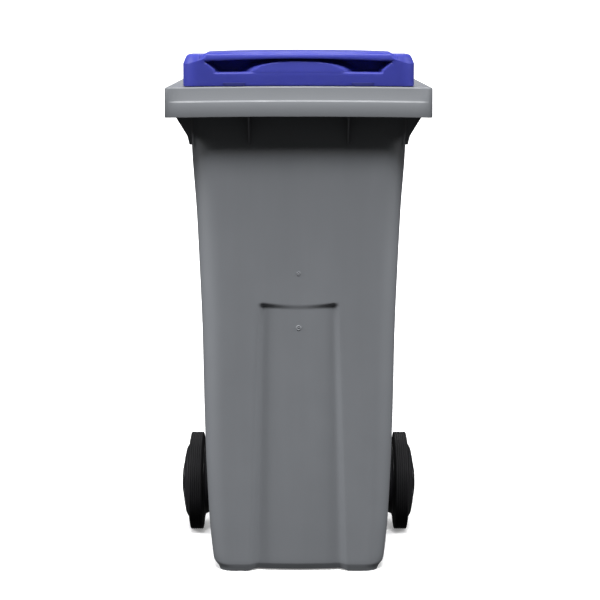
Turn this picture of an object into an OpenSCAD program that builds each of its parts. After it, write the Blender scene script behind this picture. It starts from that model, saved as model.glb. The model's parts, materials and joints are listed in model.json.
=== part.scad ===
// Two-wheeled waste bin of about 120 litres, with a hinged lid.
// Millimetres. The front faces -Y, +Z is up, and the origin is on the floor, at the middle of the footprint.

/* [Tub] */
// Height of the collar's front top edge
rim_z = 898; // [880:1:920]
// Rise of the collar and lid towards the rear, in degrees
rim_slope = 4.5; // [4:0.1:5]
// Width of the collar
collar_w = 480; // [476:1:490]
// Place of the collar's front face, ahead of the origin
collar_front = 275; // [270:1:280]
// Place of the collar's rear face, behind the origin
collar_rear = 195; // [192:1:198]
// Height of the collar's skirt
skirt_h = 54; // [45:1:60]
// Thickness of the tub's walls
wall = 4; // [3:0.5:5]
// Height of the top edge of the recessed front panel
panel_top = 507; // [450:5:550]
// Depth of the front panel's outer channels, at the foot
panel_depth = 11; // [6:1:16]

/* [Lid] */
// Width of the lid
lid_w = 417; // [415:1:420]
// Distance of the lid's front edge from the collar's front edge
lid_front = 8; // [6:1:10]
// Distance of the lid's rear edge from the collar's front edge
lid_rear = 462; // [460:1:463]
// Gap between the lid and the collar
lid_gap = 1; // [0.5:0.1:1.5]
// Depth of the hand recess under the lid's front lip
recess_depth = 28; // [20:1:30]

/* [Hinge and handle] */
// Distance of the hinge and handle line behind the origin
hinge_y = 261; // [260:1:263]
// Height of the hinge and handle line
hinge_z = 928; // [926:1:930]
// Radius of the hinge pins
hinge_pin_r = 6; // [5:0.5:7]
// Diameter of the handle bar
handle_d = 27; // [25:1:28]

/* [Wheels] */
// Wheel radius
wheel_r = 100; // [95:1:105]
// Distance of the axle behind the origin
axle_y = 165; // [163:1:170]
// Axle radius
axle_r = 10; // [9:0.5:10]
// Distance of the wheel's outermost face from the middle
wheel_out = 240; // [238:1:242]

/* [Hidden] */
$fn = 64;

// Left is -X and right is +X, as seen from the front.
LEFT = -1;
RIGHT = 1;

tub_grey = [0.46, 0.47, 0.49];
lid_blue = [0.27, 0.29, 0.66];
rubber_black = [0.05, 0.05, 0.06];
hub_black = [0.09, 0.09, 0.10];
steel = [0.70, 0.71, 0.73];

collar_hw = collar_w / 2;
lid_hw = lid_w / 2;
axle_z = wheel_r;
running_gap = 0.08;
seat_gap = 0.05;
// How far an added rib or lug sinks into the wall that carries it
sink = 2;

// ---- Rings: closed outlines in plan, each with the same number of points, counter-clockwise from above ----
corner_steps = 6;
function arc(cx, cy, r, a0) =
    [for (i = [0 : corner_steps]) let (a = a0 + 90 * i / corner_steps) [cx + r * cos(a), cy + r * sin(a)]];

// fronts are the points along the front face, as [x, y], from left to right
function ring(hw, front, rear, r, fronts) = concat(
    fronts,
    arc(hw - r, front + r, r, -90),
    [[hw, (front + rear) / 2]],
    arc(hw - r, rear - r, r, 0),
    [for (k = [0.5, 0, -0.5]) [k * hw, rear]],
    arc(-hw + r, rear - r, r, 90),
    [[-hw, (front + rear) / 2]],
    arc(-hw + r, front + r, r, 180));

// A closed solid through a list of rings, with a middle point that closes each end
module loft(rings, start, end) {
    n = len(rings[0]);
    m = len(rings);
    points = concat([for (r = rings) for (p = r) p], [start, end]);
    faces = concat(
        [for (i = [0 : n - 1]) [i, (i + 1) % n, m * n]],
        [for (k = [0 : m - 2]) for (i = [0 : n - 1]) [k * n + i, (k + 1) * n + i, (k + 1) * n + (i + 1) % n]],
        [for (k = [0 : m - 2]) for (i = [0 : n - 1]) [k * n + i, (k + 1) * n + (i + 1) % n, k * n + (i + 1) % n]],
        [for (i = [0 : n - 1]) [(m - 1) * n + (i + 1) % n, (m - 1) * n + i, m * n + 1]]);
    polyhedron(points = points, faces = faces);
}

// ---- Tub: outline at each height ----
// Half-width, front and rear of the outside of the wall, by height
wide = [[0, 148], [7, 151], [13, 156], [19, 159.4], [41, 162.6], [98, 167.8], [263, 175.2],
    [457, 179.5], [570, 184], [682, 189.5], [788, 197], [931, 201]];
front = [[0, 185], [13, 189.6], [19, 190.4], [41, 191.6], [98, 194.5], [931, 229]];
rear = [[0, 128], [7, 131], [13, 135], [19, 138], [41, 139.5], [98, 142], [931, 181]];
round = [[0, 26], [19, 34], [931, 46]];
foot_lift = 3;
foot_w = 13;
under_z = 10;
floor_z = 16;
panel_shoulder = 10;

// Height of the sloping plane through the collar's top
function plane(y) = rim_z + (y + collar_front) * tan(rim_slope);
// The collar's front edges rise a little to the middle
function crown(x) = 2.2 * (1 - pow(x / collar_hw, 2));

// The panel's outer and inner edges widen towards the foot
function panel_outer(z) = lookup(z, [[0, 92.5], [panel_top, 76]]);
function panel_inner(z) = lookup(z, [[0, 75], [panel_top, 63.5]]);
function panel_cut(z) =
    lookup(z, [[0, panel_depth], [panel_top - panel_shoulder, 0.45 * panel_depth], [panel_top, 0]]);

// Front face, with the panel's two channels and its crowned middle; inset is the distance inside the wall's face
function front_points(z, inset) =
    let (y = -lookup(z, front) + inset, d = panel_cut(z), po = panel_outer(z), pi = panel_inner(z),
        e = (po + lookup(z, wide) - lookup(z, round)) / 2)
    [[-e, y], [-po, y], [-pi, y + d], [-pi / 2, y + 0.55 * d], [0, y + 0.4 * d],
        [pi / 2, y + 0.55 * d], [pi, y + d], [po, y], [e, y]];

function wall_ring(z, inset) =
    ring(lookup(z, wide) - inset, -lookup(z, front) + inset, lookup(z, rear) - inset,
        lookup(z, round) - inset, front_points(z, inset));

function at_height(flat, z) = [for (p = flat) [p.x, p.y, z]];
// The foot is lifted a little across the front panel
function at_foot(flat) =
    [for (p = flat) [p.x, p.y, p.y < -100 && abs(p.x) < panel_outer(0) + 1 ? foot_lift : 0]];
// Points on the collar's sloping plane, dz above it
function at_plane(flat, dz) = [for (p = flat) [p.x, p.y, plane(p.y) + dz]];
// The same, with the crowned front
function at_collar(flat, dz) =
    [for (p = flat) [p.x, p.y, plane(p.y) + dz + (p.y < -collar_front + 20 ? crown(p.x) : 0)]];

collar_r = 8;
ridge_end = collar_hw - collar_r - 3;
ridge_out = 2.5;
ridge_z = 25.5;
// The skirt's front leans back a little, and steps back at the ridge
front_lean = 2.5;
ridge_back = ridge_out + front_lean;
// The collar's outline, inset inwards; the front's flat stretch can be set back on its own
function collar_ring(inset, set_back) =
    let (y = -collar_front + inset + set_back)
    ring(collar_hw - inset, -collar_front + inset, collar_rear - inset, collar_r - min(inset, collar_r - 2),
        [for (x = [-ridge_end, -171, -114, -57, 0, 57, 114, 171, ridge_end]) [x, y]]);

rain_lip_h = 6;
rim_ring_z = 895;
rows_out = [7, 13, 19, 41, 98, 263, 380, 457, panel_top - panel_shoulder, panel_top, 570, 682, 788];
rows_in = [788, 682, 570, panel_top, panel_top - panel_shoulder, 457, 263, 98, 41];

tub_rings = concat(
    [at_height(ring(120, -152, 100, 20, [for (p = front_points(0, 30)) [p.x * 0.8, p.y]]), under_z)],
    [at_foot(wall_ring(0, foot_w))],
    [at_foot(wall_ring(0, 0))],
    [for (z = rows_out) at_height(wall_ring(z, 0), z)],
    [at_plane(wall_ring(rim_ring_z, 0), -wall)],
    [at_collar(collar_ring(wall, ridge_back), -wall)],
    [at_collar(collar_ring(wall, ridge_back), -skirt_h)],
    [at_collar(collar_ring(0.5, 0), -skirt_h)],
    [at_collar(collar_ring(0, 0), -skirt_h + 1)],
    [at_collar(collar_ring(0, front_lean / 2), -ridge_z - 1.5)],
    [at_collar(collar_ring(0, ridge_back - front_lean / 2), -ridge_z + 0.5)],
    [at_collar(collar_ring(0, ridge_back), -3)],
    [at_collar(collar_ring(1, ridge_back), -0.8)],
    [at_collar(collar_ring(3.5, ridge_back), 0)],
    [at_plane(wall_ring(rim_ring_z, 0.5), 0)],
    [at_plane(wall_ring(rim_ring_z, 1), rain_lip_h)],
    [at_plane(wall_ring(rim_ring_z, wall - 0.2), rain_lip_h)],
    [for (z = rows_in) at_height(wall_ring(z, wall), z)],
    [at_height(wall_ring(41, wall + 6), floor_z + 6)],
    [at_height(wall_ring(41, wall + 14), floor_z)]);

// ---- Ribs and lugs of the tub ----
rib = 3;
gusset_x = 90;
side_gussets = [-205, -80, 40, 150];

// A plate in the YZ plane, t thick, centred on x
module plate_yz(x, t, outline) {
    translate([x - t / 2, 0, 0]) rotate([90, 0, 90]) linear_extrude(t) polygon(outline);
}

// A triangular rib between the front wall and the front of the skirt
module front_gusset(x) {
    y_in = -collar_front + wall + ridge_back - 1;
    top = rim_z - wall + 1;
    wall_y = function(z) -lookup(z, front) + sink;
    plate_yz(x, rib, [[y_in, top], [y_in, rim_z - skirt_h + 4], [-lookup(795, front), 795],
        [wall_y(795), 795], [wall_y(top), top + 3]]);
}

// A rib between a side wall and the side of the skirt
module side_gusset(side, y) {
    top = plane(y) - wall + 1;
    base = plane(y) - skirt_h;
    drop = base - (rim_z - skirt_h);
    wall_x = function(z) lookup(z, wide) - sink;
    translate([0, y + rib / 2, 0]) rotate([90, 0, 0]) linear_extrude(rib)
        polygon([for (p = [[collar_hw - wall + 1, top], [collar_hw - wall + 1, base + 6],
            [226, base], [203.8, 808 + drop], [200.2, 791 + drop], [wall_x(791 + drop), 791 + drop],
            [wall_x(top), top]]) [side * p.x, p.y]]);
}

lug_r = 14;
lug_t = 8;
lug_inner = 138;
lug_outer = 182;
knuckle_w = 34;

bracket_base_z = 850;
// One of the four rear brackets that carry the handle and the hinge pins
module hinge_bracket(x) {
    wall_y = function(z) lookup(z, rear) - sink;
    plate_yz(x, lug_t, [[wall_y(bracket_base_z), bracket_base_z], [hinge_y + 4, hinge_z - lug_r + 0.6],
        [hinge_y, hinge_z + lug_r], [collar_rear - wall, plane(collar_rear) - 1],
        [wall_y(rim_ring_z), plane(wall_y(rim_ring_z)) - 2]]);
    translate([x - lug_t / 2, hinge_y, hinge_z]) rotate([0, 90, 0]) cylinder(h = lug_t, r = lug_r);
}

axle_lug_r = 21;
axle_ribs = [-134, -50, 50, 134];
axle_rib_t = 8;
boss_r = 16;
boss_end = 180;

// A rib behind the rear wall that carries the axle
module axle_rib(x, t) {
    wall_y = function(z) lookup(z, rear) - sink;
    plate_yz(x, t, [[wall_y(64), 64], [axle_y - 4, axle_z - axle_lug_r + 0.5], [axle_y + 19, axle_z + 9],
        [axle_y + 6, axle_z + axle_lug_r - 1], [wall_y(176), 176]]);
    translate([x - t / 2, axle_y, axle_z]) rotate([0, 90, 0]) cylinder(h = t, r = axle_lug_r);
}

chip_x = 150;
chip_y = -246.5;
chip_r = 15;
chip_depth = 10;
chip_mouth_z = 881;

module body_tub() {
    color(tub_grey)
    difference() {
        union() {
            loft(tub_rings, [0, -20, under_z], [0, -20, floor_z]);
            for (x = [-gusset_x, gusset_x]) front_gusset(x);
            for (side = [LEFT, RIGHT]) for (y = side_gussets) side_gusset(side, y);
            for (side = [LEFT, RIGHT]) for (x = [lug_inner, lug_outer]) hinge_bracket(side * x);
            translate([-lug_inner, hinge_y, hinge_z]) rotate([0, 90, 0])
                cylinder(h = 2 * lug_inner, d = handle_d);
            for (x = axle_ribs) axle_rib(x, axle_rib_t);
            for (side = [LEFT, RIGHT]) translate([side * (axle_ribs[3] + boss_end) / 2, axle_y, axle_z])
                rotate([0, 90, 0]) cylinder(h = boss_end - axle_ribs[3], r = boss_r, center = true);
            translate([chip_x, chip_y, chip_mouth_z])
                cylinder(h = rim_z - wall + 3 - chip_mouth_z, r = chip_r + 3);
        }
        translate([-200, axle_y, axle_z]) rotate([0, 90, 0]) cylinder(h = 400, r = axle_r + seat_gap);
        for (side = [LEFT, RIGHT]) translate([side * (lug_inner + 28), hinge_y, hinge_z])
            rotate([0, 90, 0]) cylinder(h = 60, r = hinge_pin_r + seat_gap, center = true);
        translate([chip_x, chip_y, chip_mouth_z - 1]) cylinder(h = chip_depth + 1, r = chip_r);
    }
}

// ---- Lid: v runs back along the collar's slope from its front edge, and w stands square to it ----
lid_r = 30;
lid_wall = 4;
recess_w = 28;
lip_w = 49;
function lid_point(x, v, w) =
    [x, -collar_front + v * cos(rim_slope) - w * sin(rim_slope),
        rim_z + v * sin(rim_slope) + w * cos(rim_slope)];
// Height of the shoulders, and the raised middle field on top of them
function shoulder(v) = lookup(v, [[0, 58], [90, 58.5], [250, 55], [400, 43], [470, 34]]);
function field(x, v) =
    lookup(abs(x), [[0, 1], [60, 0.95], [120, 0.82], [163, 0.62], [174, 0]])
    * lookup(v, [[0, 1.5], [20, 4.5], [80, 7.6], [250, 6], [400, 3], [430, 0]]);
function lid_top(x, v) = shoulder(v) + field(x, v);
// Depth of the hand recess: two pockets, with a hump between them; hump is the hump's share of the full depth
function recess(x, hump) =
    recess_depth * lookup(abs(x), [[0, hump], [46, min(1, hump + 0.06)], [80, 1], [158, 1], [171, 0]]);
hump_foot = 0.02;
hump_top = 0.1;
hump_w = 44;

lid_xs = [-171, -158, -119, -80, -46, 0, 46, 80, 119, 158, 171];
in_lip = function(x) abs(x) < 165;

// A ring of the lid in plan, in v; back(x) is how far the front face stands behind the front edge
function lid_flat(inset, r, back) =
    ring(lid_hw - inset, lid_front + inset, lid_rear - inset, max(r, 3),
        [for (x = lid_xs) [x * min(1, (lid_hw - inset - max(r, 3) - 2) / 171), lid_front + back(x)]]);
// Its points stand at height w, scaled down as the shoulders fall towards the rear
function lid_side(flat, w) =
    [for (p = flat) lid_point(p.x, p.y, w * shoulder(p.y) / shoulder(0) + (p.y < 40 ? crown(p.x) : 0))];
// A ring whose front stretch stands at height wf instead
function lid_mixed(flat, w, wf) =
    [for (p = flat) lid_point(p.x, p.y,
        (p.y < lid_front + 45 && in_lip(p.x) ? wf : w * shoulder(p.y) / shoulder(0)) + (p.y < 40 ? crown(p.x) : 0))];
// A ring that lies on the top surface, dw below it
function lid_on_top(flat, dw) = [for (p = flat) lid_point(p.x, p.y, lid_top(p.x, p.y) - dw)];

none = function(x) 0;
lid_rings = concat(
    [lid_on_top(lid_flat(110, 3, function(x) 110), lid_wall)],
    [lid_on_top(lid_flat(48, 3, function(x) 58), lid_wall)],
    [lid_on_top(lid_flat(37, 4, function(x) 50), lid_wall)],
    [lid_on_top(lid_flat(13, 18, function(x) in_lip(x) ? recess_depth + 14 : 13), lid_wall)],
    [lid_mixed(lid_flat(lid_wall, 26, function(x) recess(x, 1) + lid_wall), 46, hump_w + 2)],
    [lid_mixed(lid_flat(lid_wall, 26, function(x) recess(x, hump_top) + lid_wall), 38, hump_w - 4)],
    [lid_mixed(lid_flat(lid_wall, 26, function(x) recess(x, hump_foot) + lid_wall), 24, 24)],
    [lid_side(lid_flat(lid_wall, 26, function(x) lid_wall), 22)],
    [lid_side(lid_flat(lid_wall, 26, function(x) lid_wall), lid_gap)],
    [lid_side(lid_flat(0.5, lid_r, none), lid_gap)],
    [lid_side(lid_flat(0, lid_r, none), lid_gap + 1)],
    [lid_side(lid_flat(0, lid_r, none), 25)],
    [lid_mixed(lid_flat(0, lid_r, function(x) recess(x, hump_foot)), recess_w, recess_w)],
    [lid_mixed(lid_flat(0, lid_r, function(x) recess(x, hump_top)), 40, hump_w)],
    [lid_mixed(lid_flat(0, lid_r, function(x) recess(x, 1)), 42, 56)],
    [lid_mixed(lid_flat(0.5, lid_r, function(x) in_lip(x) ? 3 : 0.5), 46, 56)],
    [lid_mixed(lid_flat(1, lid_r, function(x) 1), 48, lip_w)],
    [lid_mixed(lid_flat(1.5, lid_r, function(x) in_lip(x) ? -2 : 2), 50, lip_w)],
    [lid_mixed(lid_flat(4, 26, function(x) in_lip(x) ? -2 : 5), 55, 56)],
    [lid_on_top(lid_flat(9.5, 22, function(x) in_lip(x) ? 4 : 11), 0)],
    [lid_on_top(lid_flat(33, 6, function(x) 33), 0)],
    [lid_on_top(lid_flat(44, 3, function(x) 44), 0)],
    [lid_on_top(lid_flat(110, 3, function(x) 110), 0)]);

arm_start = 184;
// One of the two arms that run back to the hinge line
module lid_arm(side) {
    plate_yz(side * (lug_inner + lug_outer) / 2, knuckle_w, [[arm_start, 938.5], [arm_start, 962],
        [205, 961], [236, 953], [hinge_y + 3, hinge_z + lug_r - 0.3], [hinge_y - 2, hinge_z - lug_r + 0.2],
        [hinge_y - 13, hinge_z - 4], [238, 934], [208, 938.5]]);
    translate([side * (lug_inner + lug_outer) / 2, hinge_y, hinge_z]) rotate([0, 90, 0])
        cylinder(h = knuckle_w, r = lug_r, center = true);
}

module lid() {
    color(lid_blue)
    difference() {
        union() {
            loft(lid_rings, lid_point(0, 235, lid_top(0, 235) - lid_wall),
                lid_point(0, 235, lid_top(0, 235)));
            for (side = [LEFT, RIGHT]) lid_arm(side);
        }
        for (side = [LEFT, RIGHT])
            translate([side * (lug_inner + lug_outer) / 2, hinge_y, hinge_z]) rotate([0, 90, 0])
                cylinder(h = knuckle_w + 2, r = hinge_pin_r + running_gap, center = true);
    }
}

// ---- Lid buffers: soft stops in the lid's front edge, between the lid and the collar ----
buffer_x = 115;
buffer_w = 41;
buffer_h = 7;
buffer_t = 1.6;
module lid_buffer(side) {
    lift = lid_gap - 0.6 + crown(buffer_x);
    foot = lid_point(side * buffer_x, lid_front, lift);
    outline = [[-buffer_w / 2 + 5, 0], [buffer_w / 2 - 5, 0], [buffer_w / 2, buffer_h], [-buffer_w / 2, buffer_h]];
    color(rubber_black)
    translate(foot) rotate([90 + rim_slope, 0, 0]) linear_extrude(buffer_t) polygon(outline);
}

// ---- Hinge pins: a headed pin through both lugs and the knuckle between them ----
pin_head_r = 9.5;
pin_head_t = 3.5;
pin_inner = 136.6;
module hinge_pin(side) {
    outer = lug_outer + lug_t / 2 + 0.1;
    color(rubber_black)
    translate([0, hinge_y, hinge_z]) rotate([0, side * 90, 0]) {
        translate([0, 0, pin_inner]) cylinder(h = 2, r1 = hinge_pin_r - 1.2, r2 = hinge_pin_r);
        translate([0, 0, pin_inner + 2]) cylinder(h = outer - pin_inner - 2, r = hinge_pin_r);
        translate([0, 0, outer]) cylinder(h = pin_head_t - 1, r = pin_head_r);
        translate([0, 0, outer + pin_head_t - 1]) cylinder(h = 1, r1 = pin_head_r, r2 = pin_head_r - 1);
    }
}

// ---- Axle: a steel bar with a groove near each end for the wheel's lock pin ----
axle_end = 232;
groove_x = 215;
groove_r = 8;
groove_w = 7.8;
module axle() {
    color(steel)
    translate([0, axle_y, axle_z]) rotate([0, 90, 0]) rotate_extrude()
        polygon([[0, -axle_end], [axle_r - 1.5, -axle_end], [axle_r, -axle_end + 1.5],
            [axle_r, -groove_x - groove_w / 2], [groove_r, -groove_x - groove_w / 2],
            [groove_r, -groove_x + groove_w / 2], [axle_r, -groove_x + groove_w / 2],
            [axle_r, groove_x - groove_w / 2], [groove_r, groove_x - groove_w / 2],
            [groove_r, groove_x + groove_w / 2], [axle_r, groove_x + groove_w / 2],
            [axle_r, axle_end - 1.5], [axle_r - 1.5, axle_end], [0, axle_end]]);
}

washer_t = 2;
module axle_washer(side) {
    color(steel)
    translate([side * (boss_end + 0.1 + washer_t / 2), axle_y, axle_z]) rotate([0, 90, 0])
        difference() {
            cylinder(h = washer_t, r = boss_r, center = true);
            cylinder(h = washer_t + 2, r = axle_r + seat_gap, center = true);
        }
}

// ---- Wheels: outlines are [distance from the axle, distance from the middle of the bin] ----
hub_in = boss_end + washer_t + 0.3;
rim_r = wheel_r - 25;
rim_in = 194;
rim_out = 227;
tyre_in = 197;
tyre_out = 222.7;
web_in = 209.5;
pocket_r = 3.55;
pocket_top = 36;
cap_t = 4;
cap_r = 27;

// Turns an outline about the axle line, on one side of the bin
module turned(side, outline) {
    translate([0, axle_y, axle_z]) rotate([0, side * 90, 0]) rotate_extrude() polygon(outline);
}

// A boss round the axle, a web, and a deep rim that stands in towards the tub
module wheel_hub(side) {
    bore = axle_r + running_gap;
    color(hub_black)
    difference() {
        turned(side, [[bore, hub_in], [22, hub_in], [24, hub_in + 2], [26, web_in], [58, web_in],
            [60, hub_in + 4], [61.5, hub_in + 2], [65, hub_in + 2], [67, hub_in + 5], [69, rim_in - 2],
            [rim_r, rim_in], [rim_r, rim_out], [rim_r - 1.5, rim_out + 1.5], [67, 232], [54, 235.3],
            [40, 237.6], [cap_r + 0.2, wheel_out - 1], [cap_r + 0.2, wheel_out - cap_t],
            [bore, wheel_out - cap_t]]);
        translate([side * groove_x, axle_y, axle_z]) cylinder(h = pocket_top, r = pocket_r);
    }
}

module tyre(side) {
    color(rubber_black)
    turned(side, [[rim_r + 0.05, rim_in + 0.5], [84, rim_in + 1.5], [97, tyre_in], [98.7, tyre_in + 0.4],
        [wheel_r, tyre_in + 1.7], [wheel_r, tyre_out - 1.4], [98.7, tyre_out], [88, tyre_out + 2.1],
        [rim_r + 1.5, rim_out - 0.4], [rim_r + 0.05, rim_out]]);
}

module hub_cap(side) {
    color(hub_black)
    turned(side, [[0, wheel_out - cap_t], [cap_r, wheel_out - cap_t], [cap_r, wheel_out - 1.5],
        [cap_r - 1.5, wheel_out], [8, wheel_out], [6, wheel_out - 1], [0, wheel_out - 1]]);
}

// ---- Quick-fit lock: a sprung pin in the hub that drops into the axle's groove ----
lock_r = 3.5;
lock_tip = groove_r + 0.2;
lock_len = 15;
module lock_pin(side) {
    color(steel)
    translate([side * groove_x, axle_y, axle_z + lock_tip]) cylinder(h = lock_len, r = lock_r);
}

spring_r = 2.6;
spring_wire = 0.4;
spring_turns = 5;
spring_steps = 14;
spring_foot = axle_z + lock_tip + lock_len + spring_wire + 0.1;
spring_head = axle_z + pocket_top - spring_wire - 0.1;
spring_sides = 6;
function spring_ring(k) =
    let (t = k / (spring_turns * spring_steps), a = 360 * t * spring_turns,
        z = spring_foot + t * (spring_head - spring_foot))
    [for (j = [0 : spring_sides - 1]) let (b = 360 * j / spring_sides, r = spring_r + spring_wire * cos(b))
        [r * cos(a), r * sin(a), z + spring_wire * sin(b)]];

module lock_spring(side) {
    last = spring_turns * spring_steps;
    color(steel)
    translate([side * groove_x, axle_y, 0])
        loft([for (k = [0 : last]) spring_ring(k)], [spring_r, 0, spring_foot], [spring_r, 0, spring_head]);
}

body_tub();
lid();
lid_buffer(LEFT);  // lid_buffer_left
lid_buffer(RIGHT);  // lid_buffer_right
hinge_pin(LEFT);  // hinge_pin_left
hinge_pin(RIGHT);  // hinge_pin_right
axle();
axle_washer(LEFT);  // axle_washer_left
axle_washer(RIGHT);  // axle_washer_right
wheel_hub(LEFT);  // wheel_hub_left
wheel_hub(RIGHT);  // wheel_hub_right
tyre(LEFT);  // tyre_left
tyre(RIGHT);  // tyre_right
hub_cap(LEFT);  // hub_cap_left
hub_cap(RIGHT);  // hub_cap_right
lock_pin(LEFT);  // lock_pin_left
lock_pin(RIGHT);  // lock_pin_right
lock_spring(LEFT);  // lock_spring_left
lock_spring(RIGHT);  // lock_spring_right
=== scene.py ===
"""A two-wheeled waste bin with a hinged lid. Shapes are worked out in millimetres and made in metres."""

import json
import math

import bmesh
import bpy
from mathutils import Matrix, Vector


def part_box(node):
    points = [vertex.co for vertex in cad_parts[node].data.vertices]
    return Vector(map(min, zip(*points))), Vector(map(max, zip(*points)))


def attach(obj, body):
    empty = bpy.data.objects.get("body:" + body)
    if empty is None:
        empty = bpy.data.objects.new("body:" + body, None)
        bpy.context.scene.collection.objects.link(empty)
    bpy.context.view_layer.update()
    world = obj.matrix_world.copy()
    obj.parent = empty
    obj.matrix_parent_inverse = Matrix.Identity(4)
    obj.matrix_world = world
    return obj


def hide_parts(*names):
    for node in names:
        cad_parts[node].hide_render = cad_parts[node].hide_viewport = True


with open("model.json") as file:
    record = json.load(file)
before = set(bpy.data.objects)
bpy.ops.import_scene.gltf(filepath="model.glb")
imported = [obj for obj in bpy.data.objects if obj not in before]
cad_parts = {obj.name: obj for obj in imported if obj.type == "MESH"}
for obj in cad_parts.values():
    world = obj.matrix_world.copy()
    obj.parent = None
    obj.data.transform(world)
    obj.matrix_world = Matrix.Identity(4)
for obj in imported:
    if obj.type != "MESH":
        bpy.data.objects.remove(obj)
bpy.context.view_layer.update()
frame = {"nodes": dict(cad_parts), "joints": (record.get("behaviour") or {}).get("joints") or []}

MM = 0.001

# ---- Driving sizes, from the frame ----


def box_mm(node):
    low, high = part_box(node)
    return low / MM, high / MM


def joint_mm(name):
    return next(Vector(j["pos_m"]) / MM for j in frame["joints"] if j["name"] == name)


TUB_LOW, TUB_HIGH = box_mm("body_tub")
LID_HIGH = box_mm("lid")[1]
TYRE_HIGH = box_mm("tyre_right")[1]
HUB_LOW, HUB_HIGH = box_mm("wheel_hub_right")
AXLE_HIGH = box_mm("axle")[1]
HINGE = joint_mm("lid_hinge")
AXLE = joint_mm("wheel_right_spin")

COLLAR_HW = TUB_HIGH.x
COLLAR_FRONT = TUB_LOW.y
COLLAR_REAR = 195.0
COLLAR_R = 8.0
RIM_Z = 898.0
SLOPE = math.radians(4.5)
SKIRT_H = 54.0
WALL = 4.0
RAIN_LIP_H = 6.0
RIDGE_Z = 25.5
RIDGE_OUT = 2.5
FRONT_LEAN = 2.5
RIDGE_BACK = RIDGE_OUT + FRONT_LEAN
LID_HW = LID_HIGH.x
LID_FRONT = 8.0
LID_REAR = 462.0
LID_GAP = 1.0
SIDES = {"left": -1, "right": 1}


# ---- Small numeric helpers ----


def lookup(x, table):
    """Straight lines between the points of a table."""
    if x <= table[0][0]:
        return table[0][1]
    for (x0, y0), (x1, y1) in zip(table, table[1:]):
        if x <= x1:
            return y0 + (y1 - y0) * (x - x0) / (x1 - x0)
    return table[-1][1]


def curve(x, table):
    """A smooth curve through the points of a table."""
    if x <= table[0][0]:
        return table[0][1]
    if x >= table[-1][0]:
        return table[-1][1]
    i = next(k for k in range(1, len(table)) if x <= table[k][0])

    def slope(k):
        a, b = table[max(k - 1, 0)], table[min(k + 1, len(table) - 1)]
        return (b[1] - a[1]) / (b[0] - a[0])

    (x0, y0), (x1, y1) = table[i - 1], table[i]
    h = x1 - x0
    t = (x - x0) / h
    return ((1 + 2 * t) * (1 - t) ** 2 * y0 + t * (1 - t) ** 2 * h * slope(i - 1)
            + t * t * (3 - 2 * t) * y1 - t * t * (1 - t) * h * slope(i))


def smooth(t):
    t = min(1.0, max(0.0, t))
    return t * t * (3 - 2 * t)


def mix(a, b, t):
    return a + (b - a) * t


def spread(a, b, n):
    """n + 1 numbers from a to b."""
    return [a + (b - a) * i / n for i in range(n + 1)]


# ---- Mesh building ----


class Shape:
    """Points in millimetres and the faces between them."""

    def __init__(self):
        self.points, self.faces = [], []

    def add(self, points, faces):
        base = len(self.points)
        self.points += [Vector(p) for p in points]
        self.faces += [[base + i for i in f] for f in faces]

    def loft(self, rings, first=None, last=None):
        """A skin through rings of equal length; first and last are points that close the ends."""
        n, m = len(rings[0]), len(rings)
        points = [p for ring in rings for p in ring]
        faces = [[k * n + i, k * n + (i + 1) % n, (k + 1) * n + (i + 1) % n, (k + 1) * n + i]
                 for k in range(m - 1) for i in range(n)]
        if first is not None:
            points.append(first)
            faces += [[(i + 1) % n, i, len(points) - 1] for i in range(n)]
        if last is not None:
            points.append(last)
            faces += [[(m - 1) * n + i, (m - 1) * n + (i + 1) % n, len(points) - 1] for i in range(n)]
        self.add(points, faces)

    def plate(self, outline, place, t, bevel=0.7):
        """An outline in a plane of its own, t thick; place turns (u, w, depth) into a point."""
        bm = bmesh.new()
        low = [bm.verts.new((u, w, -t / 2)) for u, w in outline]
        high = [bm.verts.new((u, w, t / 2)) for u, w in outline]
        bm.faces.new(low[::-1])
        bm.faces.new(high)
        for i in range(len(outline)):
            j = (i + 1) % len(outline)
            bm.faces.new([low[i], low[j], high[j], high[i]])
        bmesh.ops.bevel(bm, geom=bm.edges[:], offset=bevel, segments=2, affect="EDGES", profile=0.6)
        bmesh.ops.recalc_face_normals(bm, faces=bm.faces[:])
        bm.verts.index_update()
        self.add([place(*v.co) for v in bm.verts], [[v.index for v in f.verts] for f in bm.faces])
        bm.free()

    def turned(self, outline, place, steps=96, start=0.0, sweep=1.0):
        """An outline of (radius, distance along the axis) turned about it; place takes (distance, a, b)."""
        rings = []
        for r, h in outline:
            angles = [2 * math.pi * (start + sweep * i / steps) for i in range(steps)]
            rings.append([place(h, r * math.cos(a), r * math.sin(a)) for a in angles])
        self.loft(rings)

    def build(self, name, material, body, replaces=(), sharp=32):
        mesh = bpy.data.meshes.new(name)
        mesh.from_pydata([p * MM for p in self.points], [], self.faces)
        bm = bmesh.new()
        bm.from_mesh(mesh)
        bmesh.ops.remove_doubles(bm, verts=bm.verts[:], dist=1e-6)
        bmesh.ops.dissolve_degenerate(bm, edges=bm.edges[:], dist=1e-6)
        bmesh.ops.recalc_face_normals(bm, faces=bm.faces[:])
        bm.to_mesh(mesh)
        bm.free()
        mesh.shade_smooth()
        mesh.set_sharp_from_angle(angle=math.radians(sharp))
        piece = bpy.data.objects.new(name, mesh)
        bpy.context.scene.collection.objects.link(piece)
        mesh.materials.append(material)
        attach(piece, body)
        if replaces:
            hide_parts(*replaces)
        return piece


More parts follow.
